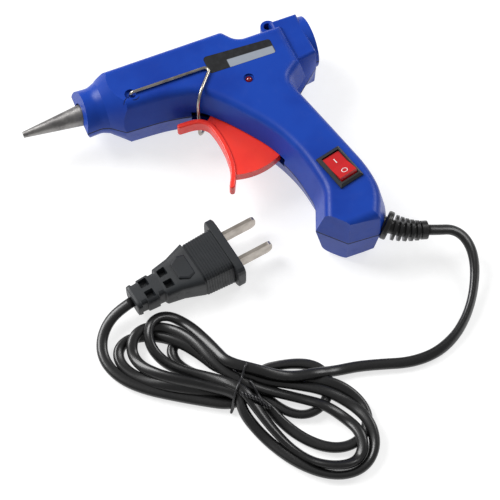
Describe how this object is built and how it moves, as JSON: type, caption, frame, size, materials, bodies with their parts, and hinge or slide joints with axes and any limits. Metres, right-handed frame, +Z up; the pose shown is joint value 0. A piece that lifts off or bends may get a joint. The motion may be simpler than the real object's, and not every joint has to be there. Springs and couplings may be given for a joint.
{
  "type": "glue gun",
  "caption": "Small hot-melt glue gun for thin sticks, with a trigger feed, a swing-out wire stand, a rocker switch and a hanked mains lead with a flat two-blade plug.",
  "frame": {"origin": "middle of the footprint of the gun itself (its lead and plug left out), on the surface that it lies on", "axes": "+X runs along the barrel from the nozzle to the stick inlet, +Y from the handle to the top of the barrel, +Z up from the surface, out of the side that carries the label and switch"},
  "size_m": [0.1517, 0.1918, 0.0321],
  "materials": {
    "casing_plastic": "semi-gloss moulded",
    "zinc_steel": "plated",
    "label_film": "printed film, black with a silver strip",
    "nozzle_steel": "turned",
    "cast_aluminium": "cast",
    "heater_film": "amber film",
    "silicone": "matt",
    "carriage_plastic": "matt",
    "trigger_plastic": "semi-gloss moulded",
    "spring_wire": "drawn and plated",
    "switch_plastic": "semi-gloss",
    "rocker_plastic": "semi-gloss",
    "terminal_brass": "stamped",
    "lamp_lens": "clear red",
    "lead_jacket": "glossy PVC",
    "tie_plastic": "plastic-coated wire",
    "plug_rubber": "matt moulded PVC",
    "nickel_plate": "satin nickel"
  },
  "bodies": {
    "casing": {"housing_left": "casing_plastic", "housing_right": "casing_plastic", "housing_screws": "zinc_steel", "rating_label": "label_film", "nozzle": "nozzle_steel", "heating_chamber": "cast_aluminium", "ptc_heater": "heater_film", "heater_clip": "zinc_steel", "stick_sleeve": "silicone", "sleeve_clamp": "zinc_steel", "trigger_pin": "zinc_steel", "return_spring": "spring_wire", "switch_body": "switch_plastic", "switch_terminals": "terminal_brass", "power_light": "lamp_lens", "light_resistor": "heater_film", "wire_live_in": "lead_jacket", "wire_live_switched": "lead_jacket", "wire_neutral": "lead_jacket", "strain_relief": "lead_jacket", "cord_lead": "lead_jacket", "cord_hank": "lead_jacket", "cord_tail": "lead_jacket", "cord_tie": "tie_plastic", "plug_body": "plug_rubber", "plug_blades": "nickel_plate"},
    "trigger_body": {"trigger": "trigger_plastic"},
    "carriage_body": {"stick_carriage": "carriage_plastic"},
    "stand_body": {"wire_stand": "spring_wire"},
    "rocker_body": {"switch_rocker": "rocker_plastic"}
  },
  "joints": [
    {"name": "trigger_pull", "type": "hinge", "parent": "casing", "child": "trigger_body", "pos_m": [0.0182, 0.02411, 0.0154], "axis": [0, 0, 1], "range_deg": [0, 22], "stiffness_Nm_per_rad": 0.02, "springref_deg": -8.59},
    {"name": "carriage_slide", "type": "slide", "parent": "casing", "child": "carriage_body", "axis": [-1, 0, 0], "range_m": [0, 0.00525], "deforming": ["return_spring"]},
    {"name": "stand_swing", "type": "hinge", "parent": "casing", "child": "stand_body", "pos_m": [-0.0181, 0.03561, 0.0154], "axis": [0, 0, -1], "range_deg": [0, 105]},
    {"name": "rocker_tilt", "type": "hinge", "parent": "casing", "child": "rocker_body", "pos_m": [0.0443, -0.02789, 0.0287], "axis": [0.9732, 0.23, 0], "range_deg": [0, 18]}
  ],
  "couplings": [
    {"joint": "carriage_slide", "follows": "trigger_pull", "m_per_rad": 0.013668}
  ]
}
